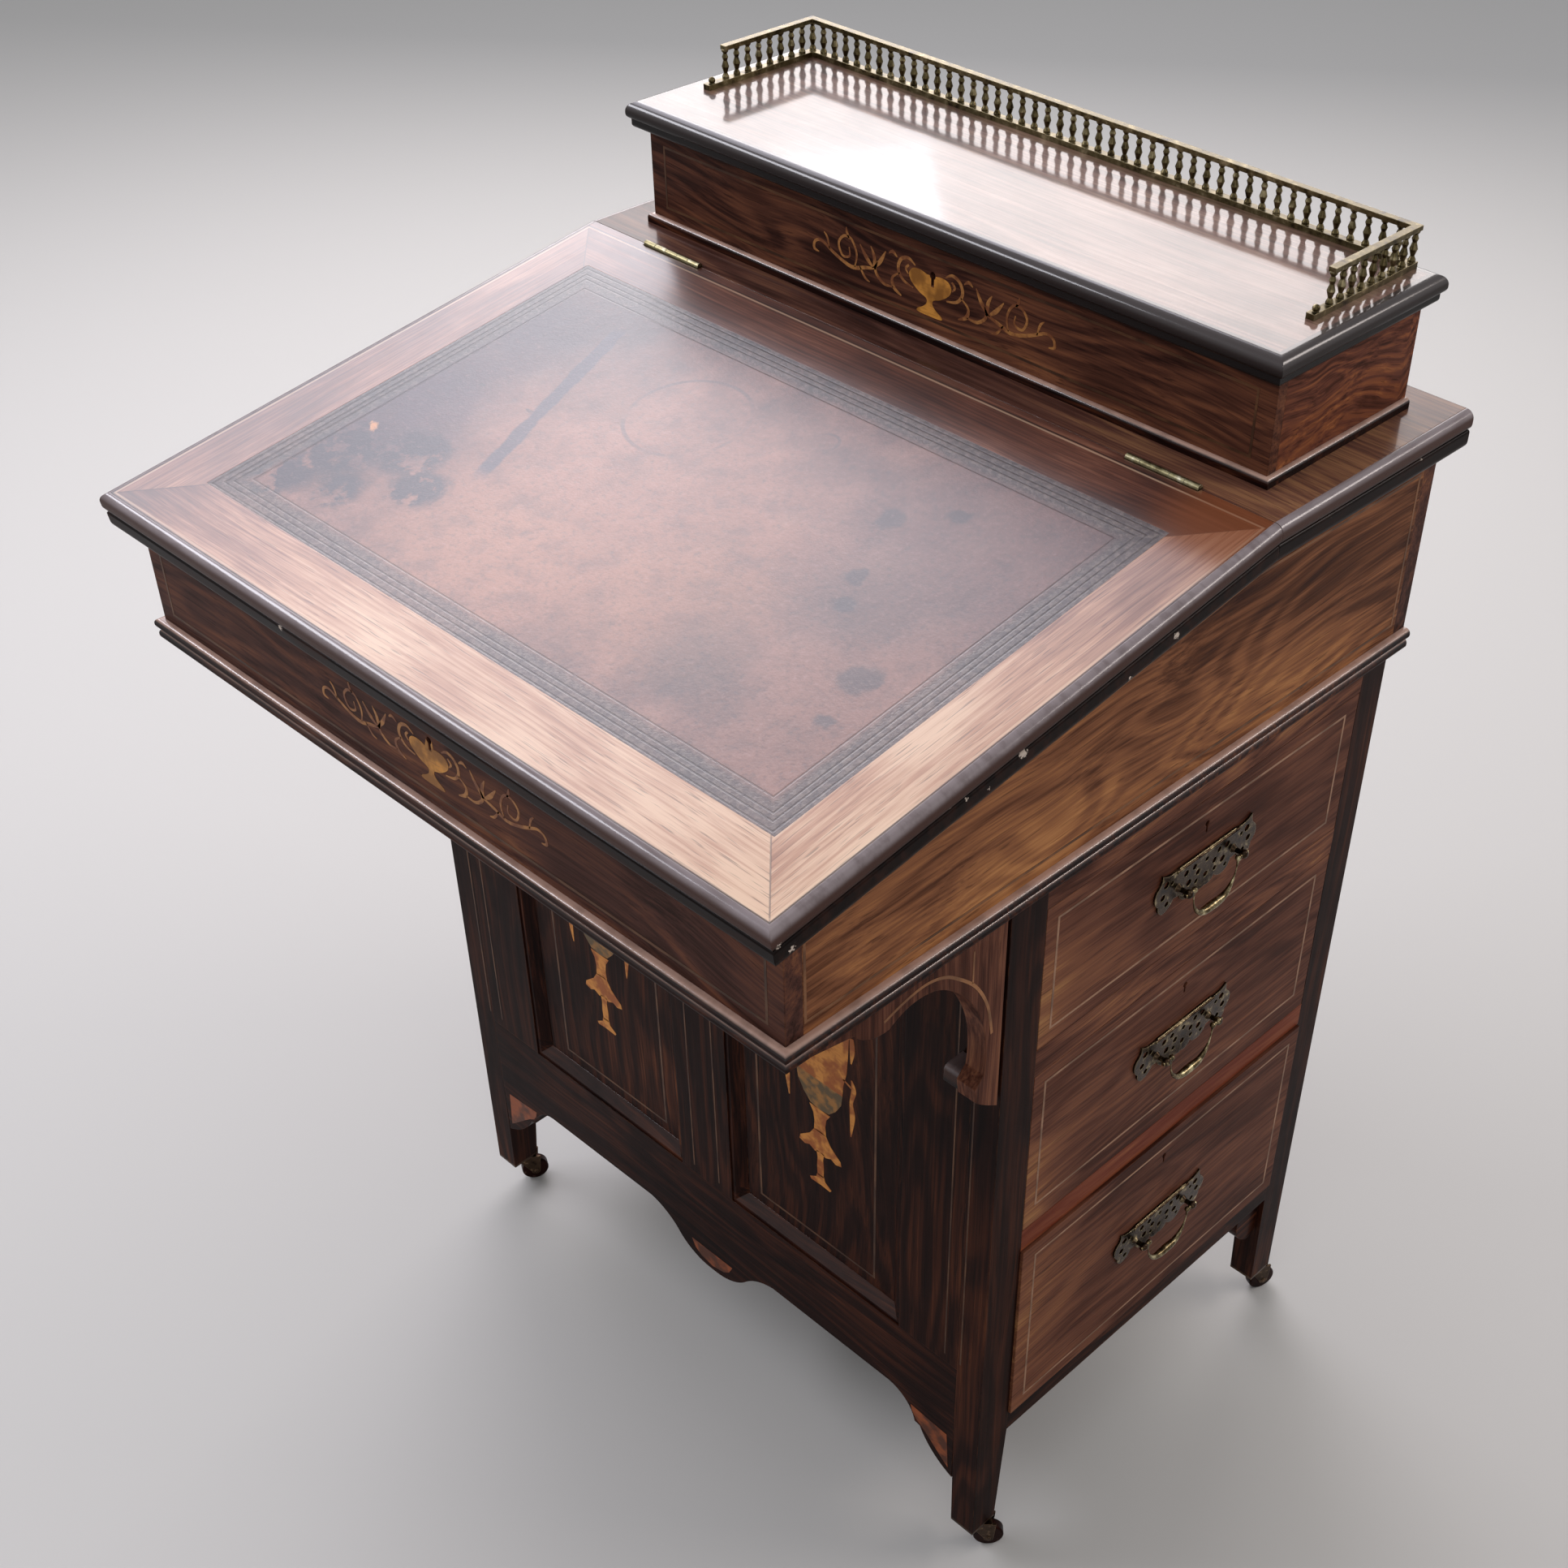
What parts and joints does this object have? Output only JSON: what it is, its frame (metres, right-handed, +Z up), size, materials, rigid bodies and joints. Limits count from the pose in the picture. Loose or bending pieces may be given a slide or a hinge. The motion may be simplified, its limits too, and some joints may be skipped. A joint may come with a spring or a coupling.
{
  "type": "davenport desk",
  "caption": "Inlaid rosewood davenport desk with a sloping leather writing flap, a lidded stationery box with brass gallery, side drawers with bail handles and casters.",
  "frame": {"origin": "on the floor under the middle of the desk's overall box", "axes": "+X to the sitter's right (the drawer side), -Y towards the sitter, +Z up"},
  "size_m": [0.56, 0.56, 0.866],
  "materials": {
    "rosewood": "french polished, figured",
    "rosewood_dark": "polished, dark",
    "faded_rosewood": "sun faded polish",
    "ebonised": "ebonised, glossy",
    "mahogany": "oiled lining timber",
    "pine": "raw, aged",
    "leather": "worn writing leather with tooled border",
    "brass": "dull polished",
    "aged_brass": "dark patinated"
  },
  "bodies": {
    "carcass": {"legs_front": "rosewood", "legs_back": "rosewood", "front_frame": "rosewood", "front_apron": "rosewood", "front_panels": "rosewood", "panel_mouldings": "rosewood_dark", "side_rails": "rosewood", "left_side_panel": "pine", "left_false_fronts": "rosewood", "drawer_runners": "pine", "back_panel": "rosewood_dark", "bottom_board": "rosewood_dark", "foot_ears": "rosewood", "side_brackets": "rosewood", "ledge_blocks": "ebonised", "slope_front": "rosewood", "slope_sides": "rosewood", "slope_back": "rosewood_dark", "slope_bottom": "pine", "slope_bead": "rosewood_dark", "top_rail": "faded_rosewood", "rail_mouldings": "ebonised", "stationery_front": "rosewood", "stationery_walls": "rosewood", "stationery_bead": "rosewood_dark", "locks": "brass", "hinge_leaves_fixed": "brass", "caster_plates": "aged_brass", "left_backplates": "aged_brass"},
    "writing_flap": {"flap_board": "faded_rosewood", "flap_leather": "leather", "flap_moulding": "ebonised", "flap_hinge_leaves": "brass"},
    "stationery_lid": {"lid_board": "ebonised", "lid_gallery": "brass", "lid_hinge_leaves": "brass"},
    "drawer_1": {"drawer_1_front": "rosewood", "drawer_1_box": "mahogany", "drawer_1_backplate": "aged_brass"},
    "bail_right_1": {"bail_right_1": "aged_brass"},
    "bail_left_1": {"bail_left_1": "aged_brass"},
    "drawer_2": {"drawer_2_front": "rosewood", "drawer_2_box": "mahogany", "drawer_2_backplate": "aged_brass"},
    "bail_right_2": {"bail_right_2": "aged_brass"},
    "bail_left_2": {"bail_left_2": "aged_brass"},
    "drawer_3": {"drawer_3_front": "rosewood", "drawer_3_box": "mahogany", "drawer_3_backplate": "aged_brass"},
    "bail_right_3": {"bail_right_3": "aged_brass"},
    "bail_left_3": {"bail_left_3": "aged_brass"},
    "caster_fork_fr": {"caster_fork_fr": "aged_brass"},
    "caster_wheel_fr": {"caster_wheel_fr": "aged_brass"},
    "caster_fork_fl": {"caster_fork_fl": "aged_brass"},
    "caster_wheel_fl": {"caster_wheel_fl": "aged_brass"},
    "caster_fork_br": {"caster_fork_br": "aged_brass"},
    "caster_wheel_br": {"caster_wheel_br": "aged_brass"},
    "caster_fork_bl": {"caster_fork_bl": "aged_brass"},
    "caster_wheel_bl": {"caster_wheel_bl": "aged_brass"}
  },
  "joints": [
    {"name": "flap_hinge", "type": "hinge", "parent": "carcass", "child": "writing_flap", "pos_m": [0, 0.095, 0.7642], "axis": [-1, 0, 0], "range_deg": [0, 108]},
    {"name": "stationery_lid_hinge", "type": "hinge", "parent": "carcass", "child": "stationery_lid", "pos_m": [0, 0.2586, 0.8244], "axis": [-1, 0, 0], "range_deg": [0, 95]},
    {"name": "drawer_1_slide", "type": "slide", "parent": "carcass", "child": "drawer_1", "axis": [1, 0, 0], "range_m": [0, 0.25]},
    {"name": "bail_right_1_pivot", "type": "hinge", "parent": "drawer_1", "child": "bail_right_1", "pos_m": [0.2748, 0.0865, 0.532], "axis": [0, -1, 0], "range_deg": [-6, 180]},
    {"name": "bail_left_1_pivot", "type": "hinge", "parent": "carcass", "child": "bail_left_1", "pos_m": [-0.2748, 0.0865, 0.532], "axis": [0, 1, 0], "range_deg": [-6, 180]},
    {"name": "drawer_2_slide", "type": "slide", "parent": "carcass", "child": "drawer_2", "axis": [1, 0, 0], "range_m": [0, 0.25]},
    {"name": "bail_right_2_pivot", "type": "hinge", "parent": "drawer_2", "child": "bail_right_2", "pos_m": [0.2748, 0.0865, 0.395], "axis": [0, -1, 0], "range_deg": [-6, 180]},
    {"name": "bail_left_2_pivot", "type": "hinge", "parent": "carcass", "child": "bail_left_2", "pos_m": [-0.2748, 0.0865, 0.395], "axis": [0, 1, 0], "range_deg": [-6, 180]},
    {"name": "drawer_3_slide", "type": "slide", "parent": "carcass", "child": "drawer_3", "axis": [1, 0, 0], "range_m": [-0.002, 0.25]},
    {"name": "bail_right_3_pivot", "type": "hinge", "parent": "drawer_3", "child": "bail_right_3", "pos_m": [0.2768, 0.0865, 0.2215], "axis": [0, -1, 0], "range_deg": [-6, 180]},
    {"name": "bail_left_3_pivot", "type": "hinge", "parent": "carcass", "child": "bail_left_3", "pos_m": [-0.2748, 0.0865, 0.2215], "axis": [0, 1, 0], "range_deg": [-6, 180]},
    {"name": "caster_swivel_fr", "type": "hinge", "parent": "carcass", "child": "caster_fork_fr", "pos_m": [0.255, -0.0805, 0.03], "axis": [0, 0, 1], "continuous": true},
    {"name": "caster_roll_fr", "type": "hinge", "parent": "caster_fork_fr", "child": "caster_wheel_fr", "pos_m": [0.26349, -0.07201, 0.011], "axis": [-0.7071, 0.7071, 0], "continuous": true},
    {"name": "caster_swivel_fl", "type": "hinge", "parent": "carcass", "child": "caster_fork_fl", "pos_m": [-0.255, -0.0805, 0.03], "axis": [0, 0, 1], "continuous": true},
    {"name": "caster_roll_fl", "type": "hinge", "parent": "caster_fork_fl", "child": "caster_wheel_fl", "pos_m": [-0.24937, -0.0699, 0.011], "axis": [-0.8829, 0.4695, 0], "continuous": true},
    {"name": "caster_swivel_br", "type": "hinge", "parent": "carcass", "child": "caster_fork_br", "pos_m": [0.255, 0.2485, 0.03], "axis": [0, 0, 1], "continuous": true},
    {"name": "caster_roll_br", "type": "hinge", "parent": "caster_fork_br", "child": "caster_wheel_br", "pos_m": [0.2595, 0.25963, 0.011], "axis": [-0.9272, 0.3746, 0], "continuous": true},
    {"name": "caster_swivel_bl", "type": "hinge", "parent": "carcass", "child": "caster_fork_bl", "pos_m": [-0.255, 0.2485, 0.03], "axis": [0, 0, 1], "continuous": true},
    {"name": "caster_roll_bl", "type": "hinge", "parent": "caster_fork_bl", "child": "caster_wheel_bl", "pos_m": [-0.249, 0.25889, 0.011], "axis": [-0.866, 0.5, 0], "continuous": true}
  ]
}
